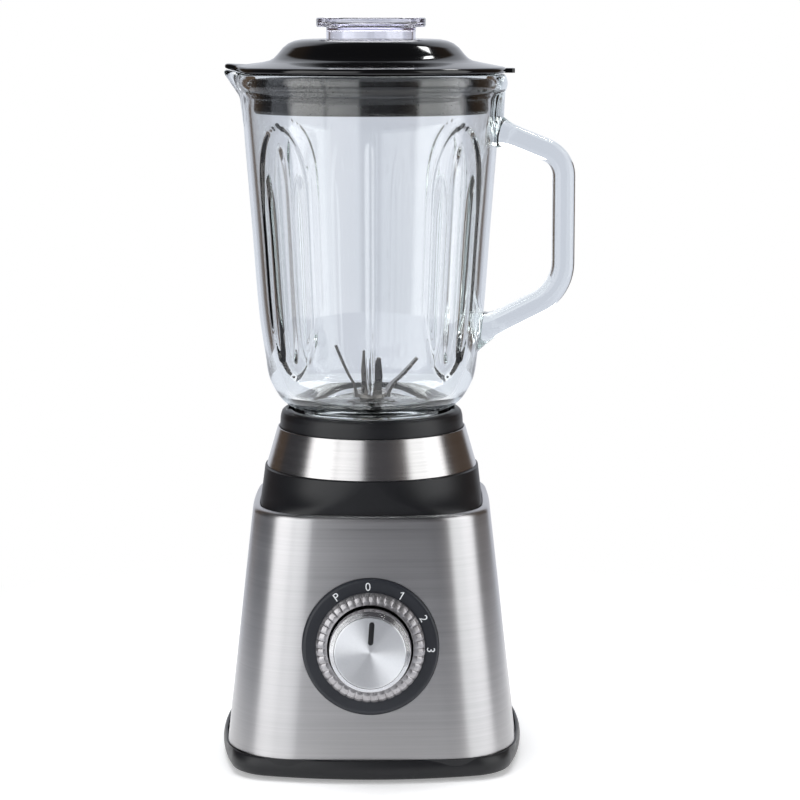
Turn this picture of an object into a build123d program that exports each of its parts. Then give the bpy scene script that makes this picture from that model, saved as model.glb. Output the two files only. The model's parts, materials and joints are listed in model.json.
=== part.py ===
from build123d import *
import math
import os

os.makedirs("parts", exist_ok=True)

# Countertop blender with a glass jug. Millimetres, +Z up. The origin is where the
# motor and blade axis meets the worktop. The dial faces -Y, the jug's handle points
# to +X and its spout to -X.

# ---------------------------------------------------------------- driving sizes
# plinth and feet
FOOT_H = 2.0            # feet stand this far below the plinth
FOOT_R = 9.5
FOOT_XY = 50.0
PLINTH_H = 81.0         # half width at the widest level
PLINTH_BULGE = 11.0     # how far the middle of a side stands out past its corners
PLINTH_CORNER = 24.0
PLINTH_TOP = 12.3
FLOOR_T = 2.5

# tapered steel shell and the moulded housing inside it
SHELL_Z0 = 9.0
SHELL_Z1 = 136.0
SHELL_TOP = 138.2
SHELL_HALF_12 = 77.5    # half width at z = 12
SHELL_TAPER = 0.1136    # half width lost per mm of height
SHELL_BULGE0, SHELL_BULGE1 = 4.0, 3.0
SHELL_CORNER0, SHELL_CORNER1 = 40.0, 35.0
SHELL_T = 0.8
HOUSING_GAP = 0.2
HOUSING_T = 2.5
HOUSING_Z0 = 8.7
DECK_Z0, DECK_Z1 = 134.0, 137.0

# collar, seat and well
TRIM_TOP = 155.3
TRIM_TOP_R = 57.4
COLLAR_TOP = 176.0
COLLAR_R0, COLLAR_R1 = 56.5, 50.5
COLLAR_T = 0.8
WELL_R = 42.3
WELL_FLOOR = 151.0
WELL_UNDER = 148.0
SEAT_TOP = 185.7

# dial
DIAL_Z = 71.0
BEZEL_R = 35.5
RING_R0, RING_R1 = 22.0, 28.3
KNOB_R = 21.4
KNOB_FRONT = 24.0
FACE_R = 18.3

# cord inlet
INLET_Z = 27.0
INLET_BORE_R = 3.5

# motor
SHAFT_R = 4.0
BUSH_BORE_R = 4.05
STATOR_W = 68.0
STATOR_Z0, STATOR_Z1 = 74.0, 108.0
STATOR_BORE_R = 20.5
ARMATURE_R = 20.0
COMM_R = 11.0
COMM_Z0, COMM_Z1 = 50.0, 63.5
FAN_R = 30.0
MOUNT_XY = 27.0
BOLT_Y = 30.0

# jug
JUG_RIM_Z = 364.0
NECK_R = 35.8
NECK_IN_R = 31.3
NECK_Z0 = 165.0
HANDLE_X = 102.4
HANDLE_T = 11.7
HANDLE_W = 17.0
SPOUT_X = -78.0

# lid and cap
LID_EDGE_R = 71.4
LID_Z0, LID_Z1 = 364.4, 367.5
LID_CREST = 382.3
LID_HOLE_R = 24.1
CAP_R = 23.6
CAP_FLANGE_R = 28.9
CAP_Z0, CAP_Z1 = 364.3, 393.3

UP = (Align.CENTER, Align.CENTER, Align.MIN)


# ---------------------------------------------------------------- helpers
def cyl(r, z0, z1, x=0.0, y=0.0):
    return Pos(x, y, z0) * Cylinder(r, z1 - z0, align=UP)


def tube(r1, r0, z0, z1, x=0.0, y=0.0):
    return cyl(r1, z0, z1, x, y) - cyl(r0, z0 - 1, z1 + 1, x, y)


def block(x0, x1, y0, y1, z0, z1):
    return Pos((x0 + x1) / 2, (y0 + y1) / 2, (z0 + z1) / 2) * Box(x1 - x0, y1 - y0, z1 - z0)


def turned(*pts):
    """Solid of revolution about Z from (radius, height) points."""
    return revolve(Plane.XZ * make_face(Polyline(*pts, close=True)), Axis.Z)


def plan(h, s, r, z):
    """Square of half width h whose sides bulge by s, corners rounded to r."""
    c = h - s
    sk = make_face([
        ThreePointArc((-c, -c), (0, -h), (c, -c)),
        ThreePointArc((c, -c), (h, 0), (c, c)),
        ThreePointArc((c, c), (0, h), (-c, c)),
        ThreePointArc((-c, c), (-h, 0), (-c, -c)),
    ])
    sk = fillet(sk.vertices(), r)
    return Pos(0, 0, z) * sk


def skin(*sections):
    return loft([plan(*s) for s in sections], ruled=True)


def shell_half(z):
    return SHELL_HALF_12 - (z - 12.0) * SHELL_TAPER


def shell_at(z, inset=0.0):
    t = (z - SHELL_Z0) / (SHELL_Z1 - SHELL_Z0)
    s = SHELL_BULGE0 + (SHELL_BULGE1 - SHELL_BULGE0) * t
    r = SHELL_CORNER0 + (SHELL_CORNER1 - SHELL_CORNER0) * t
    return (shell_half(z) - inset, s, r - inset, z)


def write(name, shape):
    export_step(shape, "parts/" + name + ".step")
    n = len(shape.solids()) if hasattr(shape, "solids") else 0
    print(f"{name}: {n} solid(s), {shape.volume / 1000.0:.2f} cm3")


def group(items):
    return Compound(children=[s for it in items for s in it.solids()])


# tilted frames on the shell's front and rear faces
tilt = math.atan(SHELL_TAPER)
FRONT = Plane(origin=(0, -shell_half(DIAL_Z), DIAL_Z), x_dir=(1, 0, 0),
              z_dir=(0, -math.cos(tilt), math.sin(tilt)))
REAR = Plane(origin=(0, shell_half(INLET_Z), INLET_Z), x_dir=(-1, 0, 0),
             z_dir=(0, math.cos(tilt), math.sin(tilt)))
print("dial axis", tuple(round(v, 5) for v in FRONT.z_dir), "through", tuple(FRONT.origin))
print("inlet axis", tuple(round(v, 5) for v in REAR.z_dir), "through", tuple(REAR.origin))


def on(plane, shape):
    return plane * shape


# ================================================================ base
# plinth: floor, rim, screw bosses, vents
screw_xy = [(sx * 67.0, sy * 30.0) for sx in (-1, 1) for sy in (-1, 1)]
foot_xy = [(sx * FOOT_XY, sy * FOOT_XY) for sx in (-1, 1) for sy in (-1, 1)]

base_cover = skin(
    (PLINTH_H - 2.0, PLINTH_BULGE, PLINTH_CORNER, FOOT_H),
    (PLINTH_H - 0.6, PLINTH_BULGE, PLINTH_CORNER, FOOT_H + 1.4),
    (PLINTH_H, PLINTH_BULGE, PLINTH_CORNER, FOOT_H + 4.5),
    (PLINTH_H - 0.4, PLINTH_BULGE, PLINTH_CORNER, PLINTH_TOP - 2.0),
    (PLINTH_H - 1.5, PLINTH_BULGE, PLINTH_CORNER, PLINTH_TOP))
base_cover -= extrude(plan(shell_half(9) + 0.5, SHELL_BULGE0, SHELL_CORNER0 + 0.5, SHELL_Z0 - 0.3), 10)
base_cover -= extrude(plan(shell_half(9) - 3.6, SHELL_BULGE0, SHELL_CORNER0 - 3.6, FOOT_H + FLOOR_T), 10)
for x, y in screw_xy:
    base_cover += cyl(6.0, FOOT_H + FLOOR_T - 0.5, 8.2, x, y)
for x, y in screw_xy:
    base_cover -= cyl(4.2, 0, 5.6, x, y)
    base_cover -= cyl(2.0, 0, 10, x, y)
for x, y in foot_xy:
    base_cover -= cyl(3.6, 0, 10, x, y)
for i in range(7):
    x = -27.0 + 9.0 * i
    half = math.sqrt(36.0 ** 2 - x * x) if abs(x) < 36 else 10
    for sy in (-1, 1):
        base_cover -= Pos(x, sy * (half / 2 + 3), 3) * Box(3.4, half - 3, 6)
write("base_cover", base_cover)

feet = []
for x, y in foot_xy:
    feet.append(turned((0, 0), (FOOT_R - 0.8, 0), (FOOT_R, 0.8), (FOOT_R, FOOT_H), (3.5, FOOT_H),
                       (3.5, FOOT_H + FLOOR_T), (4.8, FOOT_H + FLOOR_T + 0.05), (3.2, FOOT_H + FLOOR_T + 2.2),
                       (0, FOOT_H + FLOOR_T + 2.2)).moved(Location((x, y, 0))))
write("rubber_feet", group(feet))

screws = []
for x, y in screw_xy:
    s = cyl(3.6, 3.4, 5.6, x, y) + cyl(1.7, 5.5, 24, x, y)
    s -= Pos(x, y, 3.4) * Box(4.4, 0.9, 1.8)
    s -= Pos(x, y, 3.4) * Box(0.9, 4.4, 1.8)
    screws.append(s)
write("cover_screws", group(screws))

# steel shell
outer = skin(shell_at(SHELL_Z0), shell_at(SHELL_Z1),
             (shell_half(SHELL_Z1) - 0.85, SHELL_BULGE1, SHELL_CORNER1 - 0.85, SHELL_TOP))
inner = skin(shell_at(SHELL_Z0, SHELL_T), shell_at(SHELL_Z1, SHELL_T),
             (shell_half(SHELL_Z1) - 0.85 - SHELL_T, SHELL_BULGE1, SHELL_CORNER1 - 0.85 - SHELL_T, SHELL_TOP))
steel_shell = outer - inner
steel_shell -= on(FRONT, Cylinder(BEZEL_R + 0.2, 30))
steel_shell -= on(REAR, Cylinder(6.2, 30))
write("steel_shell", steel_shell)

# moulded inner housing: tapered tube and screw columns
hi = SHELL_T + HOUSING_GAP
house_env = skin(shell_at(HOUSING_Z0, hi), shell_at(DECK_Z0, hi))
inner_housing = house_env - skin(shell_at(HOUSING_Z0, hi + HOUSING_T), shell_at(DECK_Z0, hi + HOUSING_T))
for x, y in screw_xy:
    inner_housing += cyl(5.0, HOUSING_Z0, 36, x, y) & house_env
    sx = 1 if x > 0 else -1
    inner_housing += block(min(x, x + sx * 9), max(x, x + sx * 9), y - 1.25, y + 1.25, HOUSING_Z0, 36) & house_env
for x, y in screw_xy:
    inner_housing -= cyl(1.75, 0, 30, x, y)
inner_housing -= on(FRONT, Cylinder(BEZEL_R + 0.2, 30))
inner_housing -= on(REAR, Cylinder(6.2, 30))
write("inner_housing", inner_housing)

# upper housing: deck, collar cone, jug well, motor posts
upper_housing = turned((54.4, DECK_Z0), (54.4, TRIM_TOP), (COLLAR_R0 - COLLAR_T - 0.1, TRIM_TOP),
                       (COLLAR_R1 - COLLAR_T - 0.1, COLLAR_TOP), (WELL_R, COLLAR_TOP), (WELL_R, WELL_FLOOR),
                       (8.2, WELL_FLOOR), (8.2, WELL_UNDER), (44.9, WELL_UNDER), (44.9, 172.5),
                       (47.0, 172.5), (51.5, 157.0), (51.5, DECK_Z0))
deck = extrude(plan(62.0, SHELL_BULGE1, SHELL_CORNER1 - 1.4, DECK_Z0), DECK_Z1 - DECK_Z0)
deck -= cyl(52.5, DECK_Z0 - 1, DECK_Z1 + 1)
upper_housing += deck
for sx in (-1, 1):
    for sy in (-1, 1):
        upper_housing += cyl(5.2, 130.0, WELL_UNDER + 1.0, sx * MOUNT_XY, sy * MOUNT_XY)
        upper_housing -= cyl(1.75, 129.0, 144.0, sx * MOUNT_XY, sy * MOUNT_XY)
for i in range(4):
    web = Pos(48.2, 0, 152.5) * Box(7.6, 2.5, 9.0)
    upper_housing += Rot(0, 0, 45 + 90 * i) * web
for i in range(8):
    rib = Pos(47.5, 0, 141.0) * Box(8.6, 2.2, 14.0)
    rib = Rot(0, 0, 22.5 + 45 * i) * rib
    arm = Pos(48.2, 0, 149.5) * Box(7.8, 2.2, 3.0)
    upper_housing += Rot(0, 0, 22.5 + 45 * i) * arm
write("upper_housing", upper_housing)

# black trim from the shell's rounded square up to the collar's circle
mid_trim = skin((61.4, 3.0, 34.0, DECK_Z1), (61.2, 3.0, 34.5, 138.4), (60.3, 2.4, 38.0, 140.6),
                (59.5, 1.6, 44.0, 143.4), (58.3, 0.9, 51.0, 149.0), (TRIM_TOP_R, 0.4, 55.0, TRIM_TOP))
mid_trim -= cyl(54.5, DECK_Z1 - 1, TRIM_TOP + 1)
write("mid_trim", mid_trim)

# conical steel collar band
dz = COLLAR_TOP - TRIM_TOP
collar_band = turned((COLLAR_R0, TRIM_TOP + 0.1), (COLLAR_R1, COLLAR_TOP), (COLLAR_R1 - COLLAR_T, COLLAR_TOP),
                     (COLLAR_R0 - COLLAR_T, TRIM_TOP + 0.1))
write("collar_band", collar_band)

# seat ring with two pairs of bayonet notches in its inner wall
seat_ring = turned((49.3, COLLAR_TOP), (48.9, 181.5), (48.2, 184.2), (46.6, SEAT_TOP), (43.6, SEAT_TOP),
                   (WELL_R, 184.6), (WELL_R, COLLAR_TOP))
for a in (0, 90, 180, 270):
    seat_ring -= Rot(0, 0, a) * block(WELL_R - 2, 44.8, -6.5, 6.5, 178.0, 190.0)
write("seat_ring", seat_ring)

# cord inlet gland in the rear face
cord_inlet = turned((INLET_BORE_R, -7.0), (7.4, -7.0), (7.4, -5.0), (6.0, -5.0), (6.0, 0.15), (9.0, 0.15),
                    (8.6, 2.2), (7.6, 3.0), (INLET_BORE_R, 3.0))
write("cord_inlet", on(REAR, cord_inlet))

# dial bezel: dished ring that carries the switch on its back wall
bezel = turned((5.3, -6.0), (33.0, -6.0), (33.0, -5.5), (35.3, -5.5), (BEZEL_R, 0.8), (34.7, 1.7), (33.8, 2.0),
               (RING_R0 + 0.3, 2.0), (RING_R0 + 0.3, -4.0), (5.3, -4.0))
bezel -= tube(31.5, 25.0, -8.0, -0.6)
for a in (45, 135, 225, 315):
    bezel += Rot(0, 0, a) * block(33.5, 37.0, -3.0, 3.0, -6.6, -4.9)
write("dial_bezel", on(FRONT, bezel))

# fluted ring round the knob
fluted = turned((RING_R0 + 0.3, 2.0), (RING_R1, 2.0), (RING_R1, 5.4), (27.0, 7.4), (24.6, 8.4), (RING_R0 + 0.3, 8.0))
for i in range(48):
    fluted -= Rot(0, 0, 7.5 * i) * Pos(RING_R1 + 0.35, 0, 5) * Cylinder(0.85, 8)
write("fluted_dial_ring", on(FRONT, fluted))

# rotary switch behind the bezel, held by a nut on its threaded neck
switch_body = Pos(0, 0, -18.0) * Box(26, 26, 23.9)
switch_body = fillet(switch_body.edges().filter_by(Axis.Z), 3)
switch_body += cyl(5.0, -7.0, 1.0)
switch_body -= cyl(3.1, -20.0, 2.0)
for x in (-8, 0, 8):
    switch_body += block(x - 2.4, x + 2.4, -0.4, 0.4, -37.0, -29.8)
write("rotary_switch", on(FRONT, switch_body))
nut = extrude(RegularPolygon(8.0, 6), 2.5) - cyl(5.05, -1, 5)
write("switch_nut", on(FRONT, Pos(0, 0, -3.95) * nut))

# ---- knob (turns on the dial axis)
spindle = cyl(3.0, -16.0, 18.0)
spindle -= block(-4, 4, 1.6, 4, 4.0, 19.0)
write("switch_spindle", on(FRONT, spindle))
knob = turned((19.4, 2.6), (KNOB_R, 2.6), (KNOB_R, 13.0), (KNOB_R - 0.5, 18.0), (20.5, 21.5), (19.7, 21.5),
              (19.5, 22.8), (18.9, 22.8), (18.7, KNOB_FRONT), (18.4, KNOB_FRONT), (18.4, 22.0), (0, 22.0), (0, 20.0),
              (17.6, 20.0))
knob += cyl(5.6, 3.0, 21.0)
for a in (0, 60, 120, 180, 240, 300):
    knob += Rot(0, 0, a) * block(5.0, 18.2, -0.8, 0.8, 9.0, 20.5)
bore = cyl(3.02, -1.0, 18.3)
bore -= block(-4, 4, 1.62, 4, 4.0, 19.0)
knob -= bore
write("knob_body", on(FRONT, knob))
face = turned((0, 22.05), (FACE_R, 22.05), (FACE_R, 23.9), (FACE_R - 0.5, 24.3), (0, 24.3))
slot = Pos(0, 9.8, 24.3) * Box(2.6, 11.8, 1.2)
slot = Rot(0, 0, -4) * slot
face -= slot
write("knob_face", on(FRONT, face))
ptr = Pos(0, 9.8, 24.0) * Box(2.4, 11.6, 0.55)
ptr = Rot(0, 0, -4) * ptr
write("knob_pointer", on(FRONT, ptr))

# ================================================================ motor, fixed side
stator = extrude(Pos(0, 0, STATOR_Z0) * RectangleRounded(STATOR_W, STATOR_W, 12.0), STATOR_Z1 - STATOR_Z0)
stator -= cyl(STATOR_BORE_R, STATOR_Z0 - 1, STATOR_Z1 + 1)
for sx in (-1, 1):
    for sy in (-1, 1):
        stator -= Pos(sx * 24.0, sy * 20.0, 91.0) * Box(8.6, 9.2, 60)
for sy in (-1, 1):
    stator -= cyl(2.2, 70, 112, 0, sy * BOLT_Y)
write("stator_core", stator)

coils = []
for sx in (-1, 1):
    c = Pos(sx * 24.0, 0, 91.0) * Box(8.2, 48.8, 49.0)
    c = fillet(c.edges().filter_by(Axis.X), 5.0)
    c -= Pos(sx * 24.0, 0, 91.0) * Box(12, 31.2, 34.4)
    coils.append(c)
write("field_coils", group(coils))

upper_bracket = extrude(Pos(0, 0, 122.0) * RectangleRounded(68.0, 68.0, 8.0), 3.0)
upper_bracket += cyl(11.0, 122.0, 131.0)
for sy in (-1, 1):
    upper_bracket += block(-9, 9, sy * 30 - 3.9, sy * 30 + 3.9, 108.0, 123.0)
upper_bracket -= cyl(8.0, 124.6, 132.0)
upper_bracket -= cyl(5.4, 120.0, 132.0)
for sx in (-1, 1):
    for sy in (-1, 1):
        upper_bracket -= cyl(2.2, 120, 128, sx * MOUNT_XY, sy * MOUNT_XY)
for sy in (-1, 1):
    upper_bracket -= cyl(1.9, 100, 121.0, 0, sy * BOLT_Y)
for a in (0, 90, 180, 270):
    upper_bracket -= Rot(0, 0, a) * (Pos(20.5, 0, 123) * Box(9, 22, 8))
write("upper_bracket", upper_bracket)

lower_bracket = extrude(Pos(0, 0, 36.0) * RectangleRounded(24.0, 68.0, 4.0), 3.0)
lower_bracket += extrude(Pos(0, 0, 36.0) * RectangleRounded(68.0, 20.0, 4.0), 3.0)
lower_bracket += cyl(11.0, 36.0, 45.5)
for sy in (-1, 1):
    lower_bracket += block(-9, 9, sy * 30 - 3.9, sy * 30 + 3.9, 38.0, STATOR_Z0)
for sx in (-1, 1):
    lower_bracket += block(sx * 26 - 5, sx * 26 + 5, -8, 8, 38.5, 49.0)
lower_bracket -= cyl(8.0, 38.6, 47.0)
lower_bracket -= cyl(5.4, 30.0, 47.0)
for sy in (-1, 1):
    lower_bracket -= cyl(2.2, 30, 80, 0, sy * BOLT_Y)
write("lower_bracket", lower_bracket)

write("upper_bearing", tube(8.0, BUSH_BORE_R, 125.0, 130.5))
write("lower_bearing", tube(8.0, BUSH_BORE_R, 39.0, 44.5))

bolts = []
for sy in (-1, 1):
    bolts.append(cyl(3.6, 33.4, 36.0, 0, sy * BOLT_Y) + cyl(1.85, 35.5, 120.0, 0, sy * BOLT_Y))
write("stator_bolts", group(bolts))

mounts = []
mscrews = []
for sx in (-1, 1):
    for sy in (-1, 1):
        mounts.append(tube(5.6, 2.2, 125.0, 130.0, sx * MOUNT_XY, sy * MOUNT_XY))
        mscrews.append(cyl(4.0, 119.4, 122.0, sx * MOUNT_XY, sy * MOUNT_XY)
                       + cyl(1.7, 121.5, 141.0, sx * MOUNT_XY, sy * MOUNT_XY))
write("rubber_mounts", group(mounts))
write("motor_screws", group(mscrews))

holders, brushes, springs = [], [], []
for i in range(2):
    turn = Rot(0, 0, 180 * i)
    h = block(13.2, 34.0, -6.4, 6.4, 49.0, 64.0)
    h -= block(12.0, 32.0, -4.1, 4.1, 52.9, 61.1)
    h -= cyl(11.6, 40, 70)
    holders.append(turn * h)
    b = block(8.0, 23.0, -3.9, 3.9, 53.1, 60.9) - cyl(COMM_R + 0.06, 40, 70)
    brushes.append(turn * b)
    wire = Plane.YZ.offset(23.45) * Pos(0, 57.0, 0) * Helix(pitch=1.9, height=8.1, radius=2.7)
    start = wire @ 0
    sec = Plane(origin=start, z_dir=wire % 0) * Circle(0.38)
    springs.append(turn * sweep(sec, path=wire, is_frenet=True))
write("brush_holders", group(holders))
write("carbon_brushes", group(brushes))
write("brush_springs", group(springs))

write("shaft_seal", turned((SHAFT_R + 0.3, 147.0), (10.5, 147.0), (10.5, 148.0), (8.1, 148.0), (8.1, 151.0),
                           (9.6, 151.0), (9.0, 151.9), (SHAFT_R + 0.3, 151.9)))

terminal_block = block(-14, 14, 46, 58, 4.5, 15.0)
for x in (-8.5, 0, 8.5):
    terminal_block -= block(x - 2.4, x + 2.4, 44, 60, 8.5, 12.5)
    terminal_block -= cyl(1.8, 12, 16, x, 52)
write("terminal_block", terminal_block)
capacitor = block(21, 37, 46, 54, 4.5, 17.0)
capacitor = fillet(capacitor.edges().filter_by(Axis.Z), 1.2)
write("suppression_capacitor", capacitor)

# ================================================================ rotor
write("motor_shaft", chamfer(cyl(SHAFT_R, 15.0, 160.0).edges(), 0.4))

armature = cyl(ARMATURE_R, 75.0, 107.0) - cyl(SHAFT_R, 70, 110)
for i in range(12):
    armature -= Rot(0, 0, 30 * i) * block(11.0, 18.4, -1.9, 1.9, 70, 110)
    armature -= Rot(0, 0, 30 * i) * block(17.0, 21.0, -0.8, 0.8, 70, 110)
write("armature_core", armature)

wind = turned((5.5, 107.0), (16.6, 107.0), (17.4, 109.5), (16.2, 113.4), (12.0, 115.2), (7.0, 114.2), (5.5, 112.0))
wind += turned((5.5, 75.0), (16.6, 75.0), (17.4, 72.5), (16.2, 68.6), (12.0, 66.8), (7.0, 67.8), (5.5, 70.0))
for i in range(12):
    wind += Rot(0, 0, 30 * i) * block(11.3, 18.1, -1.6, 1.6, 74.5, 107.5) & cyl(17.9, 60, 120)
write("armature_windings", wind)

comm = tube(COMM_R, SHAFT_R, COMM_Z0, COMM_Z1) + tube(12.4, SHAFT_R, COMM_Z1 - 0.5, COMM_Z1 + 2.4)
for i in range(24):
    comm -= Rot(0, 0, 15 * i) * block(10.3, 13.0, -0.25, 0.25, COMM_Z0 - 1, COMM_Z1 - 0.6)
write("commutator", comm)

fan = tube(9.0, SHAFT_R, 20.0, 33.0) + tube(FAN_R, 8.0, 20.0, 21.8)
for i in range(9):
    v = Rot(0, 0, 40 * i) * (Pos(18.8, 0, 26.4) * (Rot(0, 0, 18) * Box(19.5, 1.5, 10.0)))
    fan += v & cyl(FAN_R - 0.4, 20, 33)
write("cooling_fan", fan)

# drive dog on the motor shaft: hub with six lobes
dog = cyl(9.0, 152.4, 161.5)
for i in range(6):
    dog += Rot(0, 0, 60 * i) * block(0.0, 13.2, -2.2, 2.2, 153.2, 161.0)
dog -= cyl(SHAFT_R, 150, 160.0)
write("drive_coupling", dog)

# ================================================================ jug
jug_out = turned((0, NECK_Z0), (NECK_R, NECK_Z0), (NECK_R, 182.2), (37.5, 184.8), (45.2, 188.4), (48.8, 191.6),
                 (51.4, 195.5), (53.8, 200.0), (55.4, 204.8), (56.7, 214.0), (59.7, 234.5), (63.5, 284.0),
                 (67.3, 334.0), (68.2, 346.0), (69.2, 354.5), (71.0, 357.5), (71.5, 359.0), (71.5, 362.4),
                 (70.4, JUG_RIM_Z), (0, JUG_RIM_Z))
jug_in = turned((0, NECK_Z0 - 5), (NECK_IN_R, NECK_Z0 - 5), (NECK_IN_R, 186.4), (33.6, 188.4), (41.5, 192.4),
                (45.0, 195.4), (48.0, 200.0), (50.4, 206.0), (51.9, 214.0), (55.0, 234.5), (58.8, 284.0),
                (62.9, 334.0), (64.2, 350.0), (65.6, 357.0), (66.9, JUG_RIM_Z + 3), (0, JUG_RIM_Z + 3))
# pouring lip: a wedge that runs out of the rim to a rounded nose
nose_top = make_hull([*(Pos(-69.0, 0) * Circle(9.0)).edges(), *(Pos(-40.0, 0) * Rectangle(4, 62)).edges()])
spout = extrude(nose_top, 40.0)
spout = Pos(0, 0, 340.0) * spout
side = Plane.XZ * make_face(Polyline((-40.0, 340.0), (-66.5, 340.0), (-69.0, 351.5), (-75.8, 358.8), (SPOUT_X, 361.6),
                                     (SPOUT_X, JUG_RIM_Z), (-40.0, JUG_RIM_Z), close=True))
spout &= extrude(side, 45, both=True)
chan_top = make_hull([*(Pos(-68.6, 0) * Circle(5.8)).edges(), *(Pos(-40.0, 0) * Rectangle(4, 50)).edges()])
chan = Pos(0, 0, 340.0) * extrude(chan_top, 40.0)
side_in = Plane.XZ * make_face(Polyline((-40.0, 343.0), (-61.5, 343.0), (-64.5, 352.5), (-72.0, 360.2), (-74.4, 362.4),
                                        (-75.6, JUG_RIM_Z + 1), (-40.0, JUG_RIM_Z + 1), close=True))
chan &= extrude(side_in, 45, both=True)
# handle: rounded bar on a bent path
path = FilletPolyline((55.0, 0, 225.6), (HANDLE_X, 0, 249.3), (HANDLE_X, 0, 320.3), (55.0, 0, 339.2), radius=[24.0, 15.0])
start_plane = Plane(origin=path @ 0, z_dir=path % 0, x_dir=(0, 1, 0))
handle = sweep(start_plane * RectangleRounded(HANDLE_W, HANDLE_T, 4.6), path=path)
# root flare under the top of the handle
flare = Plane.XZ * make_face(Polyline((60.0, 340.2), (71.8, 336.4), (92.0, 323.0), (84.0, 319.8), (72.0, 322.6),
                                      (68.0, 319.8), (60.0, 316.0), close=True))
handle += extrude(flare, 6.2, both=True)
glass_jug = jug_out + spout + handle
glass_jug -= jug_in
glass_jug -= chan
write("glass_jug", glass_jug)

# blade carrier, gasket and locking collar under the glass neck
blade_carrier = turned((27.0, 160.0), (35.4, 160.0), (35.4, 162.8), (30.6, 162.8), (30.6, 185.6), (29.6, 187.0),
                       (14.0, 187.0), (12.6, 189.0), (11.0, 190.0), (6.5, 190.0), (6.5, 168.0), (11.0, 168.0), (12.0, 183.6),
                       (27.0, 183.6))
for i in range(6):
    blade_carrier += Rot(0, 0, 60 * i) * block(10.6, 28.0, -1.0, 1.0, 170.0, 184.0)
write("blade_carrier", blade_carrier)
write("jug_gasket", turned((30.7, 162.8), (35.6, 162.8), (35.6, NECK_Z0 - 0.02), (30.7, NECK_Z0 - 0.02)))

locking_collar = turned((32.0, 153.0), (40.4, 153.0), (41.6, 154.2), (41.6, 177.0), (40.6, 178.6), (36.2, 178.6),
                        (36.2, 160.0), (35.4, 160.0), (35.4, 159.95), (32.0, 159.95))
for a in (0, 90, 180, 270):
    locking_collar += Rot(0, 0, a) * block(38.0, 44.2, -5.8, 5.8, 178.3, 181.0)
write("locking_collar", locking_collar)

write("shaft_bush", turned((BUSH_BORE_R, 167.0), (8.6, 167.0), (8.6, 168.0), (6.5, 168.0), (6.5, 189.0), (BUSH_BORE_R, 189.0)))
write("blade_seal", turned((SHAFT_R + 0.1, 189.0), (6.5, 189.0), (6.5, 190.6), (SHAFT_R + 0.1, 190.6)))

# ---- blades (turn in the jug)
blade_shaft = cyl(SHAFT_R, 161.9, 191.4) + cyl(2.5, 191.0, 199.6)
write("blade_shaft", blade_shaft)

driven = cyl(17.0, 153.4, 164.8)
driven -= cyl(9.5, 150.0, 161.9)
for i in range(6):
    driven -= Rot(0, 0, 60 * i) * block(0.0, 13.7, -2.6, 2.6, 150.0, 161.9)
driven -= cyl(SHAFT_R, 161.9, 170)
driven += tube(6.5, SHAFT_R, 164.0, 166.4)
write("driven_coupling", driven)

write("blade_washers", group([tube(5.2, SHAFT_R, 190.7, 191.4), tube(5.2, 2.5, 194.5, 195.3)]))


def arm(start, length, angle, w0, w1, teeth, z):
    """Tapered arm that leaves the hub along +X and is bent up by angle."""
    t = 1.5
    flat = make_face(Polyline((0, -w0 / 2), (length * 0.55, -w0 * 0.46), (length, -w1 / 2), (length, w1 / 2),
                              (length * 0.5, w0 * 0.40), (0, w0 / 2), close=True))
    a = extrude(flat, t)
    for k in range(teeth):
        a -= Pos(length * (0.35 + 0.16 * k), -w0 * 0.5 + 0.4 * k, t / 2) * Cylinder(1.15, 6)
    return Pos(start, 0, z) * (Rot(0, -angle, 0) * a)


def blade(z, hub_r, root, arms):
    b = extrude(Pos(0, 0, z) * Circle(hub_r), 1.5)
    for heading, length, angle, w0, w1, teeth in arms:
        b += Rot(0, 0, heading) * block(0, root, -w0 / 2, w0 / 2, z, z + 1.5)
        b += Rot(0, 0, heading) * arm(root - 1.0, length, angle, w0, w1, teeth, z)
    b -= cyl(2.5, z - 1, z + 3)
    return b


lower_blade = blade(191.4, 8.6, 9.6, [(6, 26.5, 51.0, 8.6, 3.2, 4), (186, 30.5, 68.0, 8.6, 3.0, 4)])
upper_blade = blade(192.95, 5.6, 8.0, [(105, 23.5, 66.0, 7.6, 1.8, 0), (285, 23.5, 66.0, 7.6, 1.8, 0)])
write("lower_blade", lower_blade)
write("upper_blade", upper_blade)
cap_nut = extrude(Pos(0, 0, 195.3) * RegularPolygon(5.2, 6), 3.0) + Pos(0, 0, 198.3) * Sphere(4.3, arc_size1=0)
cap_nut -= cyl(2.5, 190.0, 199.6)
write("blade_nut", cap_nut)

# ================================================================ lid
nose = make_hull([*(Pos(-69.2, 0) * Circle(8.5)).edges(), *(Pos(-40.0, 0) * Rectangle(4, 84)).edges()])
lid = turned((LID_HOLE_R, LID_Z0), (LID_EDGE_R - 0.6, LID_Z0), (LID_EDGE_R, 365.2), (LID_EDGE_R, 366.6),
             (LID_EDGE_R - 1.0, LID_Z1), (54.0, 370.7), (51.6, 371.6), (47.2, 377.2), (43.4, 380.3), (40.4, 381.4),
             (37.0, 382.1), (30.6, LID_CREST), (27.4, 381.9), (25.6, 380.6), (LID_HOLE_R, 379.2))
lid += (Pos(0, 0, LID_Z0) * extrude(nose, 2.4)) - cyl(45.0, 360, 370)
lid += block(66.0, 75.9, -6.0, 6.0, LID_Z0 + 0.2, LID_Z0 + 2.6) - cyl(60, 360, 370)
lid -= turned((27.0, LID_Z0 - 2), (57.0, LID_Z0 - 2), (57.0, 366.2), (52.6, 367.8), (49.6, 369.6), (45.2, 375.2),
              (42.0, 378.0), (37.0, 379.3), (30.8, 379.5), (28.6, 378.8), (27.0, 377.2))
lid += turned((57.0, 346.0), (59.4, 346.0), (59.4, LID_Z0 + 0.6), (57.0, LID_Z0 + 0.6))
lid += turned((21.6, 361.4), (27.0, 361.4), (27.0, LID_Z0 + 1), (LID_HOLE_R, LID_Z0 + 1), (LID_HOLE_R, 364.1), (21.6, 364.1))
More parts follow.
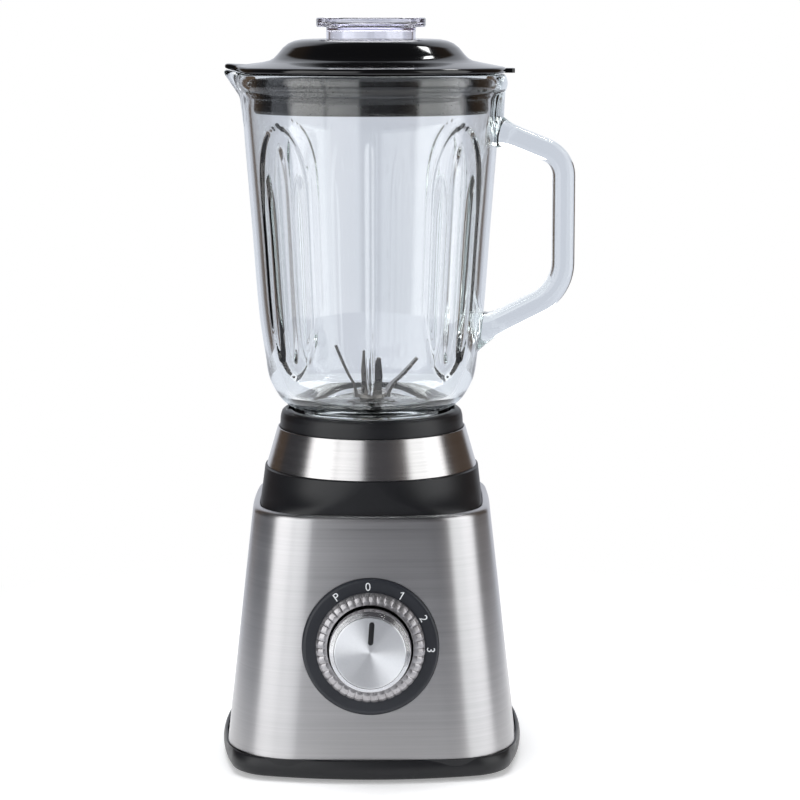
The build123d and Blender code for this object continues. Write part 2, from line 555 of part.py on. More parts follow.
write("lid_cover", lid)

lid_gasket = turned((59.4, 344.2), (61.2, 343.8), (62.2, 345.4), (62.4, 350.9), (63.6, 351.6), (63.6, 352.6),
                    (62.8, 353.2), (63.2, 357.0), (64.9, 357.7), (64.9, 358.7), (63.8, 359.4), (64.6, 363.0),
                    (66.0, 364.35), (59.4, 364.35))
write("lid_gasket", lid_gasket)

# measuring cap: clear inverted cup with a flange to hold it by
cap = turned((0, 386.9), (21.6, 386.9), (21.8, 370.0), (21.8, CAP_Z0), (CAP_R - 0.3, CAP_Z0), (CAP_R, 365.5),
             (CAP_R, 388.5), (CAP_FLANGE_R - 0.5, 388.5), (CAP_FLANGE_R, 389.1), (CAP_FLANGE_R, 392.3),
             (CAP_FLANGE_R - 0.5, CAP_Z1), (CAP_FLANGE_R - 1.8, CAP_Z1), (CAP_FLANGE_R - 2.2, 390.4), (22.4, 389.4), (0, 389.4))
write("measuring_cap", cap)
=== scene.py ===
import json
import math

import bmesh
import bpy
import numpy as np
from mathutils import Matrix, Vector


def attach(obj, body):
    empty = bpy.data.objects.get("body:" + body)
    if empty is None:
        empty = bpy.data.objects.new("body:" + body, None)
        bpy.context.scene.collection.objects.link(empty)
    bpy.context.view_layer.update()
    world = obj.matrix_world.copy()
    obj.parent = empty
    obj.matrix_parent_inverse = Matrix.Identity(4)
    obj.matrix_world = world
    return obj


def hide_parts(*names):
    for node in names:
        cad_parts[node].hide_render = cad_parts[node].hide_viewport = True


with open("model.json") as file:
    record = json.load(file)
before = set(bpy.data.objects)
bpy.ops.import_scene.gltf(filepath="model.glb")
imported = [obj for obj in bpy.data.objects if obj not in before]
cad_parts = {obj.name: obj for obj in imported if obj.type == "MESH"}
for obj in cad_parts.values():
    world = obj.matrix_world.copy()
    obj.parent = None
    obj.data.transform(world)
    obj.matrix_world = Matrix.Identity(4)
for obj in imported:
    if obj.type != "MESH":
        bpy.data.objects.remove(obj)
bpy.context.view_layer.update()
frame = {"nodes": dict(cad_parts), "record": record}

nodes = frame["nodes"]
MM = 0.001
scene = bpy.context.scene
scene.view_settings.view_transform = "Standard"
scene.view_settings.look = "None"
scene.cycles.max_bounces = 18
scene.cycles.transmission_bounces = 16
scene.cycles.glossy_bounces = 8
scene.cycles.transparent_max_bounces = 16

# ====================================================================== materials


class Net:
    """A material's or world's node tree, with short ways to add and link nodes."""

    def __init__(self, tree):
        self.t = tree
        tree.nodes.clear()

    def n(self, kind, **sets):
        node = self.t.nodes.new(kind)
        for k, v in sets.items():
            setattr(node, k, v)
        return node

    def put(self, node, key, value):
        s = node.inputs[key]
        if isinstance(value, bpy.types.NodeSocket):
            self.t.links.new(value, s)
        else:
            s.default_value = value

    def math(self, op, a, b=0.0, clamp=False):
        m = self.n("ShaderNodeMath", operation=op, use_clamp=clamp)
        self.put(m, 0, a)
        self.put(m, 1, b)
        return m.outputs[0]

    def span(self, v, a, b, c, d, smooth=False):
        m = self.n("ShaderNodeMapRange", interpolation_type="SMOOTHSTEP" if smooth else "LINEAR")
        for k, x in zip(("Value", "From Min", "From Max", "To Min", "To Max"), (v, a, b, c, d)):
            self.put(m, k, x)
        return m.outputs[0]

    def coords(self, scale=(1, 1, 1)):
        tc = self.n("ShaderNodeTexCoord")
        mp = self.n("ShaderNodeMapping")
        self.put(mp, "Vector", tc.outputs["Object"])
        self.put(mp, "Scale", scale)
        return mp.outputs[0]

    def noise(self, vec, scale, detail=4.0, rough=0.5, distort=0.0):
        x = self.n("ShaderNodeTexNoise")
        self.put(x, "Vector", vec)
        self.put(x, "Scale", scale)
        self.put(x, "Detail", detail)
        self.put(x, "Roughness", rough)
        self.put(x, "Distortion", distort)
        return x.outputs["Fac"]

    def blendc(self, fac, a, b):
        m = self.n("ShaderNodeMix", data_type="RGBA")
        self.put(m, 0, fac)
        self.put(m, 6, a)
        self.put(m, 7, b)
        return m.outputs[2]

    def bump(self, height, strength, dist, normal=None):
        b = self.n("ShaderNodeBump")
        self.put(b, "Height", height)
        self.put(b, "Strength", strength)
        self.put(b, "Distance", dist)
        if normal is not None:
            self.put(b, "Normal", normal)
        return b.outputs[0]

    def ramp(self, fac, stops, mode="LINEAR"):
        r = self.n("ShaderNodeValToRGB")
        cr = r.color_ramp
        cr.interpolation = mode
        while len(cr.elements) > 1:
            cr.elements.remove(cr.elements[-1])
        cr.elements[0].position = stops[0][0]
        cr.elements[0].color = (*stops[0][1], 1)
        for p, c in stops[1:]:
            e = cr.elements.new(p)
            e.color = (*c, 1)
        self.put(r, "Fac", fac)
        return r.outputs["Color"]


def begin(name):
    m = bpy.data.materials.new(name)
    m.use_nodes = True
    g = Net(m.node_tree)
    out = g.n("ShaderNodeOutputMaterial")
    p = g.n("ShaderNodeBsdfPrincipled")
    g.t.links.new(p.outputs[0], out.inputs["Surface"])
    return m, g, p, out


def shade(c, k):
    return (min(c[0] * k, 1), min(c[1] * k, 1), min(c[2] * k, 1), 1)


def moulded(name, color, rough, grain=1400.0, depth=0.00006, spread=0.22, spec=0.5, patch=26.0, strength=0.25, coat=0.0):
    """Moulded plastic or rubber: fine skin grain, slow colour drift, handled patches in the gloss."""
    m, g, p, _ = begin(name)
    v = g.coords()
    slow = g.noise(v, patch, 3)
    fine = g.noise(v, grain, 2)
    speck = g.noise(v, grain * 0.31, 5, 0.7)
    tone = g.math("ADD", g.math("MULTIPLY", slow, 0.65), g.math("MULTIPLY", speck, 0.35))
    g.put(p, "Base Color", g.blendc(g.span(tone, 0.3, 0.7, 0, 1), shade(color, 1 - spread), shade(color, 1 + spread)))
    g.put(p, "Roughness", g.span(g.math("ADD", g.math("MULTIPLY", slow, 0.5), g.math("MULTIPLY", fine, 0.5)), 0.3, 0.7, rough * 0.88, min(rough * 1.12, 1)))
    g.put(p, "Specular IOR Level", spec)
    if coat:
        g.put(p, "Coat Weight", coat)
        g.put(p, "Coat Roughness", 0.03)
    g.put(p, "Normal", g.bump(g.math("ADD", fine, g.math("MULTIPLY", speck, 0.6)), strength, depth))
    return m


def drawn_metal(name, color, rough, streak=(9, 9, 1100), aniso=0.7, spin=0.25, depth=0.00002, strength=0.12, contrast=0.10, worn=(0.9, 1.12)):
    """Metal brushed along the horizontal: long fine lines in colour, gloss and relief."""
    m, g, p, _ = begin(name)
    v = g.coords(streak)
    lines = g.noise(v, 1.0, 6, 0.62)
    coarse = g.noise(g.coords((streak[0] * 0.6, streak[1] * 0.6, streak[2] * 0.12)), 1.0, 3)
    cloud = g.noise(g.coords(), 14.0, 3)
    t = g.math("ADD", g.math("MULTIPLY", lines, 0.7), g.math("MULTIPLY", coarse, 0.3))
    tone = g.math("ADD", g.math("MULTIPLY", t, 0.82), g.math("MULTIPLY", cloud, 0.18))
    g.put(p, "Base Color", g.blendc(g.span(tone, 0.32, 0.68, 0, 1), shade(color, 1 - contrast), shade(color, 1 + contrast)))
    g.put(p, "Metallic", 1.0)
    g.put(p, "Roughness", g.span(t, 0.3, 0.7, rough * worn[0], rough * worn[1]))
    if aniso:
        tan = g.n("ShaderNodeTangent", direction_type="RADIAL", axis="Z")
        g.put(p, "Tangent", tan.outputs[0])
        g.put(p, "Anisotropic", aniso)
        g.put(p, "Anisotropic Rotation", spin)
    g.put(p, "Normal", g.bump(t, strength, depth))
    return m


def plain_metal(name, color, rough, scale=220.0, contrast=0.12, depth=0.00005, strength=0.15, metallic=1.0):
    """Plated, ground or wound metal: mottled tone with a fine tooth."""
    m, g, p, _ = begin(name)
    v = g.coords()
    a = g.noise(v, scale, 5, 0.6)
    b = g.noise(v, scale * 0.12, 3)
    fine = g.noise(v, scale * 6, 2)
    tone = g.math("ADD", g.math("MULTIPLY", a, 0.5), g.math("MULTIPLY", b, 0.5))
    g.put(p, "Base Color", g.blendc(g.span(tone, 0.35, 0.65, 0, 1), shade(color, 1 - contrast), shade(color, 1 + contrast)))
    g.put(p, "Metallic", metallic)
    g.put(p, "Roughness", g.span(a, 0.3, 0.7, rough * 0.85, min(rough * 1.2, 1)))
    g.put(p, "Normal", g.bump(g.math("ADD", a, fine), strength, depth))
    return m


def wound(name, color, rough, axis_scale):
    """Enamelled winding wire or stacked laminations, as close parallel lines."""
    m, g, p, _ = begin(name)
    w = g.n("ShaderNodeTexWave", wave_type="BANDS", bands_direction="DIAGONAL" if axis_scale[0] else "Z")
    g.put(w, "Vector", g.coords(axis_scale if axis_scale[0] else (1, 1, 1)))
    g.put(w, "Scale", 320.0 if axis_scale[0] else 260.0)
    g.put(w, "Distortion", 1.2)
    g.put(w, "Detail", 2.0)
    h = w.outputs["Fac"]
    mott = g.noise(g.coords(), 90.0, 3)
    g.put(p, "Base Color", g.blendc(g.math("ADD", g.math("MULTIPLY", h, 0.6), g.math("MULTIPLY", mott, 0.4)), shade(color, 0.55), shade(color, 1.15)))
    g.put(p, "Metallic", 0.8)
    g.put(p, "Roughness", g.span(mott, 0.3, 0.7, rough * 0.85, rough * 1.15))
    g.put(p, "Normal", g.bump(h, 0.5, 0.0003))
    return m


def clear(name, tint, ior, density, absorb, wave=0.00003, rough=0.0, ripple=42.0):
    """Pressed glass or clear plastic: slight pressing ripple, tint that deepens with thickness."""
    m, g, p, out = begin(name)
    v = g.coords((1, 1, 0.45))
    slow = g.noise(v, ripple, 2)
    haze = g.noise(g.coords(), 160.0, 3)
    g.put(p, "Base Color", g.blendc(g.span(slow, 0.3, 0.7, 0, 1), shade(tint, 0.985), shade(tint, 1.01)))
    g.put(p, "Transmission Weight", 1.0)
    g.put(p, "IOR", ior)
    g.put(p, "Roughness", g.span(haze, 0.45, 0.8, rough, rough + 0.012))
    g.put(p, "Normal", g.bump(slow, 0.35, wave))
    if density:
        va = g.n("ShaderNodeVolumeAbsorption")
        g.put(va, "Color", (*absorb, 1))
        g.put(va, "Density", density)
        g.t.links.new(va.outputs[0], out.inputs["Volume"])
    return m


DIAL_C = Vector((0, -70.7976, 71.0))
DIAL_N = Vector((0, -0.99361, 0.11287)).normalized()


def spun(name, color, rough, rings, aniso):
    """Metal turned about the dial's axis: fine rings, and a sheen that runs out from the centre."""
    m, g, p, _ = begin(name)
    tc = g.n("ShaderNodeTexCoord")
    rel = g.n("ShaderNodeVectorMath", operation="SUBTRACT")
    g.put(rel, 0, tc.outputs["Object"])
    g.put(rel, 1, tuple(DIAL_C * MM))
    along = g.n("ShaderNodeVectorMath", operation="DOT_PRODUCT")
    g.put(along, 0, rel.outputs[0])
    g.put(along, 1, tuple(DIAL_N))
    back = g.n("ShaderNodeVectorMath", operation="SCALE")
    g.put(back, 0, tuple(DIAL_N))
    g.put(back, "Scale", along.outputs["Value"])
    flat = g.n("ShaderNodeVectorMath", operation="SUBTRACT")
    g.put(flat, 0, rel.outputs[0])
    g.put(flat, 1, back.outputs[0])
    ln = g.n("ShaderNodeVectorMath", operation="LENGTH")
    g.put(ln, 0, flat.outputs[0])
    rad = ln.outputs["Value"]
    comb = g.n("ShaderNodeCombineXYZ")
    g.put(comb, 0, g.math("MULTIPLY", rad, rings))
    ring = g.noise(comb.outputs[0], 1.0, 5, 0.7)
    fleck = g.noise(g.coords(), 900.0, 3)
    tone = g.math("ADD", g.math("MULTIPLY", ring, 0.8), g.math("MULTIPLY", fleck, 0.2))
    g.put(p, "Base Color", g.blendc(g.span(tone, 0.3, 0.7, 0, 1), shade(color, 0.9), shade(color, 1.06)))
    g.put(p, "Metallic", 1.0)
    g.put(p, "Roughness", g.span(ring, 0.3, 0.7, rough * 0.9, rough * 1.15))
    if aniso:
        tr = g.n("ShaderNodeVectorTransform", vector_type="VECTOR", convert_from="OBJECT", convert_to="WORLD")
        g.put(tr, 0, flat.outputs[0])
        nz = g.n("ShaderNodeVectorMath", operation="NORMALIZE")
        g.put(nz, 0, tr.outputs[0])
        g.put(p, "Tangent", nz.outputs[0])
        g.put(p, "Anisotropic", aniso)
    g.put(p, "Normal", g.bump(ring, 0.10, 0.00002))
    return m


MATS = {
    "black_plastic": moulded("black_plastic", (0.0065, 0.0068, 0.0085), 0.38, spread=0.25, spec=0.38),
    "housing_plastic": moulded("housing_plastic", (0.10, 0.10, 0.10), 0.5),
    "rubber": moulded("rubber", (0.022, 0.022, 0.022), 0.72, grain=900, strength=0.4),
    "gasket_black": moulded("gasket_black", (0.002, 0.002, 0.0023), 0.26, grain=700, depth=0.00003, strength=0.12),
    "silicone": moulded("silicone", (0.62, 0.63, 0.64), 0.45, spread=0.08),
    "zinc_steel": plain_metal("zinc_steel", (0.60, 0.60, 0.57), 0.34, 160),
    "bearing_steel": plain_metal("bearing_steel", (0.62, 0.62, 0.63), 0.2, 400),
    "collar_steel": drawn_metal("collar_steel", (0.50, 0.49, 0.49), 0.24, aniso=0.6),
    "brushed_steel": drawn_metal("brushed_steel", (0.465, 0.46, 0.465), 0.32, aniso=0.68),
    "blade_steel": drawn_metal("blade_steel", (0.20, 0.185, 0.17), 0.28, streak=(500, 500, 60), aniso=0.3, contrast=0.2, strength=0.3),
    "blade_base": drawn_metal("blade_base", (0.20, 0.205, 0.21), 0.26, streak=(160, 160, 160), aniso=0.2, contrast=0.2),
    "chrome": spun("chrome", (0.80, 0.80, 0.81), 0.06, 500.0, 0.0),
    "spun_aluminium": spun("spun_aluminium", (0.86, 0.875, 0.90), 0.31, 5200.0, 1.0),
    "silver_plastic": moulded("silver_plastic", (0.42, 0.415, 0.42), 0.30, grain=900, spread=0.10, spec=0.7),
    "dial_grey": moulded("dial_grey", (0.020, 0.022, 0.028), 0.36, grain=1600, spread=0.12, spec=0.4),
    "lamination": wound("lamination", (0.22, 0.22, 0.24), 0.5, (0, 0, 1)),
    "copper": wound("copper", (0.68, 0.29, 0.13), 0.35, (1, 1, 1)),
    "brass": plain_metal("brass", (0.75, 0.57, 0.26), 0.3, 220),
    "carbon": moulded("carbon", (0.05, 0.05, 0.05), 0.6, grain=600, strength=0.5),
    "capacitor_yellow": moulded("capacitor_yellow", (0.68, 0.50, 0.08), 0.42),
    "fan_plastic": moulded("fan_plastic", (0.75, 0.75, 0.72), 0.5, spread=0.08),
    "glass": clear("glass", (0.985, 0.995, 0.995), 1.5, 9.0, (0.66, 0.84, 0.83)),
    "clear_plastic": clear("clear_plastic", (0.97, 0.97, 0.995), 1.47, 26.0, (0.72, 0.70, 0.90), ripple=60.0),
    "black_gloss": moulded("black_gloss", (0.0022, 0.0022, 0.0025), 0.09, grain=60, depth=0.00008, strength=0.10, spread=0.2, spec=0.5),
    "label_white": moulded("label_white", (0.80, 0.82, 0.84), 0.5, grain=900, spread=0.05),
}
m, g, p, _ = begin("silver_ring")
v = g.coords()
slow, fine = g.noise(v, 300.0, 4), g.noise(v, 1500.0, 2)
g.put(p, "Base Color", g.blendc(g.span(slow, 0.3, 0.7, 0, 1), (0.34, 0.33, 0.34, 1), (0.47, 0.46, 0.475, 1)))
g.put(p, "Metallic", 0.85)
g.put(p, "Roughness", g.span(fine, 0.3, 0.7, 0.26, 0.36))
g.put(p, "Normal", g.bump(fine, 0.2, 0.00004))
MATS["silver_ring"] = m

record = frame["record"]
slot_of = {s["node"]: s["material_slot"] for s in record["subparts"]}
for name, o in nodes.items():
    o.data.materials.clear()
    o.data.materials.append(MATS[slot_of[name]])

# ====================================================================== mesh helpers


def fillet(pts, r, n=4, closed=True):
    """The profile with its corners rounded. r is one radius, or a dict of radii by corner with a default under -1."""
    P = [np.array(q, float) for q in pts]
    out, m = [], len(P)
    for i, q in enumerate(P):
        if not closed and i in (0, m - 1):
            out.append(q)
            continue
        a, b = P[i - 1] - q, P[(i + 1) % m] - q
        la, lb = np.linalg.norm(a), np.linalg.norm(b)
        a, b = a / la, b / lb
        ang = math.acos(float(np.clip(a @ b, -1, 1)))
        turn = math.pi - ang
        rr = r.get(i, r.get(-1, 0.3)) if isinstance(r, dict) else r
        if turn < math.radians(5) or rr <= 0:
            out.append(q)
            continue
        t = min(rr / math.tan(ang / 2), 0.45 * la, 0.45 * lb)
        c = q + (a + b) / np.linalg.norm(a + b) * (t / math.cos(ang / 2))
        v0, v1 = q + a * t - c, q + b * t - c
        k = max(2, round(n * turn / (math.pi / 2)))
        for j in range(k + 1):
            f = j / k
            out.append(c + (math.sin((1 - f) * turn) * v0 + math.sin(f * turn) * v1) / math.sin(turn))
    return out


def flow(pts, step, closed=False):
    """A smooth curve through the points, as points about step apart."""
    P = [np.array(q, float) for q in pts]
    out = []
    for i in range(len(P) - 1):
        p1, p2 = P[i], P[i + 1]
        p0 = P[i - 1] if i > 0 else 2 * p1 - p2
        p3 = P[i + 2] if i + 2 < len(P) else 2 * p2 - p1
        t0 = 0.0
        t1 = t0 + max(np.linalg.norm(p1 - p0), 1e-6) ** 0.5
        t2 = t1 + max(np.linalg.norm(p2 - p1), 1e-6) ** 0.5
        t3 = t2 + max(np.linalg.norm(p3 - p2), 1e-6) ** 0.5
        k = max(1, int(math.ceil(np.linalg.norm(p2 - p1) / step)))
        for j in range(k):
            t = t1 + (t2 - t1) * j / k
            a1 = (t1 - t) / (t1 - t0) * p0 + (t - t0) / (t1 - t0) * p1
            a2 = (t2 - t) / (t2 - t1) * p1 + (t - t1) / (t2 - t1) * p2
            a3 = (t3 - t) / (t3 - t2) * p2 + (t - t2) / (t3 - t2) * p3
            b1 = (t2 - t) / (t2 - t0) * a1 + (t - t0) / (t2 - t0) * a2
            b2 = (t3 - t) / (t3 - t1) * a2 + (t - t1) / (t3 - t1) * a3
            out.append((t2 - t) / (t2 - t1) * b1 + (t - t1) / (t2 - t1) * b2)
    out.append(P[-1])
    return out


def skin(rings, loop=False, cap=(False, False)):
    """Vertices and faces of a tube through closed rings of equal count. loop joins the last ring to the first."""
    R = np.array(rings, float)
    m, n, _ = R.shape
    verts = R.reshape(-1, 3).tolist()
    faces = []
    for i in range(m if loop else m - 1):
        k = (i + 1) % m
        for j in range(n):
            l = (j + 1) % n
            faces.append((i * n + j, i * n + l, k * n + l, k * n + j))
    for on, i in ((cap[0], 0), (cap[1], m - 1)):
        if on:
            c = R[i].mean(0)
            verts.append(c.tolist())
            z = len(verts) - 1
            for j in range(n):
                faces.append((i * n + j, i * n + (j + 1) % n, z))
    return verts, faces


def place(geo, mat4):
    verts, faces = geo
    return [tuple(mat4 @ Vector(q)) for q in verts], faces


def build(name, geos, mat, body, replaces=(), angle=32, weighted=True, cuts=(), unions=(), solver="EXACT"):
    """One object from one or more closed pieces of mesh, in mm, with its normals, finish and body."""
    if isinstance(geos, tuple):
        geos = [geos]
    verts, faces = [], []
    for gv, gf in geos:
        o0 = len(verts)
        verts += [(q[0] * MM, q[1] * MM, q[2] * MM) for q in gv]
        faces += [tuple(i + o0 for i in f) for f in gf]
    me = raw_mesh(name, verts, faces)
    o = bpy.data.objects.new(name, me)
    scene.collection.objects.link(o)
    for kind, tools in (("UNION", unions), ("DIFFERENCE", cuts)):
        for t in tools:
            tm = raw_mesh("tool", [(q[0] * MM, q[1] * MM, q[2] * MM) for q in t[0]], t[1])
            to = bpy.data.objects.new("tool", tm)
            scene.collection.objects.link(to)
            b = o.modifiers.new("b", "BOOLEAN")
            b.operation, b.object, b.solver = kind, to, solver
            bpy.context.view_layer.update()
            dg = bpy.context.evaluated_depsgraph_get()
            new = bpy.data.meshes.new_from_object(o.evaluated_get(dg))
            o.modifiers.clear()
            o.data = new
            bpy.data.objects.remove(to)
    me = o.data
    me.name = name
    me.polygons.foreach_set("use_smooth", [True] * len(me.polygons))
    me.set_sharp_from_angle(angle=math.radians(angle))
    me.materials.clear()
    me.materials.append(mat)
    if weighted:
        w = o.modifiers.new("normals", "WEIGHTED_NORMAL")
        w.keep_sharp = True
        w.weight = 50
    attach(o, body)
    if replaces:
        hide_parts(*replaces)
    return o


def raw_mesh(name, verts, faces):
    me = bpy.data.meshes.new(name)
    me.from_pydata(verts, [], faces)
    bm = bmesh.new()
    bm.from_mesh(me)
    bmesh.ops.remove_doubles(bm, verts=bm.verts, dist=1e-7)
    bmesh.ops.recalc_face_normals(bm, faces=bm.faces)
    bm.to_mesh(me)
    bm.free()
    me.update()
    return me


def turned(profile, n=160, closed=True):
    """Body of revolution about z. An open profile starts and ends on the axis."""
    th = np.linspace(0, 2 * math.pi, n, endpoint=False)
    rings = []
    P = list(profile)
    if not closed:
        P = P[1:-1]
    for r, z in P:
        rings.append(np.stack([r * np.cos(th), r * np.sin(th), np.full(n, z)], 1))
    verts, faces = skin(rings, loop=closed)
    if not closed:
        for pt, i in ((profile[0], 0), (profile[-1], len(P) - 1)):
            verts.append([0.0, 0.0, float(pt[1])])
            z = len(verts) - 1
            for j in range(n):
                faces.append((i * n + j, i * n + (j + 1) % n, z))
    return verts, faces


def plan(h, s, r, z, ns=26, nc=26):
    """Ring of a square of half width h whose sides bulge by s, corners rounded to r."""
    c = h - s
    R = (c * c + s * s) / (2 * s)
    A = R - h
    q = (-A + math.sqrt(2 * (R - r) ** 2 - A * A)) / 2
    phi = math.atan2(q, q + A)
    pts = []
    for k in range(4):
        b = -math.pi / 2 + k * math.pi / 2
        cx, cy = -A * math.cos(b), -A * math.sin(b)
        for i in range(ns):
            t = b - phi + 2 * phi * i / ns
            pts.append((cx + R * math.cos(t), cy + R * math.sin(t), z))
        d = q * math.sqrt(2)
        cx, cy = d * math.cos(b + math.pi / 4), d * math.sin(b + math.pi / 4)
        for i in range(nc):
            t = b + phi + (math.pi / 2 - 2 * phi) * i / nc
            pts.append((cx + r * math.cos(t), cy + r * math.sin(t), z))
    return np.array(pts)


def round_like(ring, r, z):
    """Circle of radius r whose points face those of the ring."""
    a = np.arctan2(ring[:, 1], ring[:, 0])
    return np.stack([r * np.cos(a), r * np.sin(a), np.full(len(a), z)], 1)


def on_plane(origin, normal):
    n = Vector(normal).normalized()
    x = Vector((1, 0, 0))
    y = n.cross(x).normalized()
    return Matrix.Translation(Vector(origin)) @ Matrix((x, y, n)).transposed().to_4x4()


FRONT = on_plane(DIAL_C, DIAL_N)
REAR = on_plane((0, 75.796, 27.0), (0, 0.99361, 0.11287))


def slab(cx, cy, z0, z1, sx, sy, r, n=8):
    """Flat plate with rounded corners and a small chamfer on its upper edge."""
    pts = []
    for k, (ux, uy) in enumerate(((1, 1), (-1, 1), (-1, -1), (1, -1))):
        for i in range(n + 1):
            t = k * math.pi / 2 + i * math.pi / 2 / n
            pts.append((ux * (sx / 2 - r) + r * math.cos(t), uy * (sy / 2 - r) + r * math.sin(t)))
    pts = np.array(pts)
    e = min(0.25, (z1 - z0) * 0.3)
    rings = []
    for z, d in ((z0, 0), (z1 - e, 0), (z1 - e * 0.3, e * 0.3), (z1, e)):
        s = np.array([(sx - 2 * d) / sx, (sy - 2 * d) / sy])
        q = pts * s + np.array([cx, cy])
        rings.append(np.column_stack([q, np.full(len(q), z)]))
    return skin(rings, cap=(True, True))


# ====================================================================== steel base


def shell_half(z):
    return 77.5 - (z - 12.0) * 0.1136


def shell_sec(z, inset=0.0):
    t = (z - 9.0) / 127.0
    return (shell_half(z) - inset, 4.0 - t, 40.0 - 5.0 * t - inset, z)


levels = np.linspace(9.0, 135.2, 14)
top = shell_half(136.0)
rings = [plan(*shell_sec(z)) for z in levels]
for z, d in ((135.9, 0.08), (136.6, 0.32), (137.2, 0.75), (137.7, 1.35), (138.02, 2.1), (138.17, 2.9), (138.2, 3.45), (138.05, 3.8), (137.6, 3.95)):
    rings.append(plan(top - d, 3.0, 35.0 - d, z))
rings += [plan(*shell_sec(z, 0.8 if z < 130 else 1.2)) for z in (135.0, 100.0, 60.0, 9.0)]
bore = place(turned([(0, -15), (35.7, -15), (35.7, 15), (0, 15)], 160, closed=False), FRONT)
rear = place(turned([(0, -15), (6.2, -15), (6.2, 15), (0, 15)], 64, closed=False), REAR)
build("steel_body", skin(rings, loop=True), MATS["brushed_steel"], "base", ["steel_shell"], cuts=(bore, rear))

# plinth: bowed sides, softly rounded rim, recess for the shell, slotted floor
side = flow([(77.6, 2.0), (79.2, 2.1), (80.2, 3.0), (80.85, 5.0), (81.0, 6.8), (80.8, 9.0), (80.3, 10.8), (79.85, 11.9)], 0.9)
rings = [plan(h, 11.0, 24.0, z) for h, z in side]
for h, z in ((79.5, 12.2), (79.15, 12.3)):
    rings.append(plan(h, 11.0, 24.0, z))
rings.append(plan(shell_half(9) + 0.5, 4.0, 40.5, 12.25))
rings.append(plan(shell_half(9) + 0.5, 4.0, 40.5, 8.8))
rings.append(plan(shell_half(9) - 3.6, 4.0, 36.4, 8.6))
rings.append(plan(shell_half(9) - 3.6, 4.0, 36.4, 4.5))
for f in (0.8, 0.6, 0.4, 0.2):
    rings.append(plan(60 * f, 4.0 * f, 36.0 * f, 4.5))
top_geo = rings
low = [plan(77.6 * f, 11.0 * f, 24.0 * f, 2.0) for f in (0.2, 0.4, 0.6, 0.8)]
slots = []
for i in range(7):
    x = -27.0 + 9.0 * i
    half = math.sqrt(36.0 ** 2 - x * x) if abs(x) < 36 else 10
    for sy in (-1, 1):
        slots.append(slab(x, sy * (half / 2 + 3), 0.5, 6.0, 3.4, half - 3, 1.65))
for x, y in ((67, 30), (67, -30), (-67, 30), (-67, -30)):
    slots.append(place(turned([(0, 0), (4.2, 0), (4.2, 5.6), (0, 5.6)], 40, closed=False), Matrix.Translation((x, y, 0))))
build("plinth", skin(low + top_geo, cap=(True, True)), MATS["black_plastic"], "base", ["base_cover"], cuts=slots)

# trim from rounded square to circle
secs = [(59.35, 3.0, 32.0, 137.0), (59.35, 3.0, 32.2, 137.8), (59.3, 3.0, 32.8, 138.6), (59.15, 2.7, 34.6, 139.6), (59.0, 2.4, 36.9, 140.8),
        (58.85, 2.0, 40.0, 142.2), (58.7, 1.6, 43.4, 143.6), (58.4, 1.2, 47.6, 146.2), (58.1, 0.9, 50.8, 149.0), (57.75, 0.62, 53.15, 152.2), (57.45, 0.42, 54.8, 154.9)]
rings = [plan(h, s, r, z) for h, s, r, z in secs]
ref = rings[-1]
rings.append(round_like(ref, 57.1, 155.25))
rings.append(round_like(ref, 56.7, 155.3))
rings.append(round_like(ref, 54.5, 155.3))
rings.append(round_like(ref, 54.5, 137.0))
build("trim_band", skin(rings, loop=True), MATS["black_plastic"], "base", ["mid_trim"])

# conical collar band with a thin rolled top edge
prof = fillet([(56.5, 155.4), (50.5, 176.0), (49.7, 176.0), (55.7, 155.4)], {-1: 0.1, 1: 0.35, 2: 0.2}, 4)
build("collar_cone", turned(prof, 256), MATS["collar_steel"], "base", ["collar_band"])

# seat ring: rounded crown, four bayonet notches
prof = fillet([(49.35, 176.05), (49.0, 181.5), (48.3, 184.2), (46.6, 185.7), (43.6, 185.7), (42.3, 184.6), (42.3, 176.05)],
              {-1: 0.4, 1: 5.0, 2: 1.6, 3: 2.0, 4: 0.8, 5: 0.8, 0: 0.2}, 6)
cuts = []
for k in range(4):
    cuts.append(place(slab(42.3, 0, 178.0, 190.0, 5.0, 13.0, 0.8), Matrix.Rotation(k * math.pi / 2, 4, "Z")))
build("seat_crown", turned(prof, 240), MATS["black_plastic"], "base", ["seat_ring"], cuts=cuts)

# ====================================================================== dial

prof = fillet([(5.3, -6.0), (33.0, -6.0), (33.0, -5.5), (35.3, -5.5), (35.5, 0.8), (34.6, 1.8), (33.6, 2.0), (22.3, 2.0), (22.3, -4.0), (5.3, -4.0)],
              {-1: 0.15, 4: 0.5, 5: 0.6, 6: 1.2}, 6)
build("dial_plate", place(turned(prof, 200), FRONT), MATS["dial_grey"], "base", ["dial_bezel"])

# fluted ring: rounded cushions between narrow grooves
n_fl, per = 40, 16
n = n_fl * per
th = np.linspace(0, 2 * math.pi, n, endpoint=False)
ph = (np.arange(n) % per) / per
lobe = np.abs(np.sin(math.pi * ph)) ** 0.45
prof = fillet([(22.3, 2.0), (28.3, 2.0), (28.3, 5.4), (27.0, 7.4), (24.6, 8.4), (22.3, 8.0)], {-1: 0.25, 2: 1.6, 3: 1.2, 4: 1.0, 5: 0.4}, 6)
rings = []
for r, z in prof:
    w = min(max((r - 22.9) / 2.0, 0), 1) * min(max((z - 2.0) / 0.8, 0), 1)
    rr = r - (1 - lobe) * 0.45 * w
    zz = z - (1 - lobe) * 0.32 * w * min(max((z - 4.0) / 2.5, 0), 1)
    rings.append(np.stack([rr * np.cos(th), rr * np.sin(th), np.zeros(n) + zz], 1))
build("grip_ring", place(skin(rings, loop=True), FRONT), MATS["silver_ring"], "base", ["fluted_dial_ring"], angle=50)

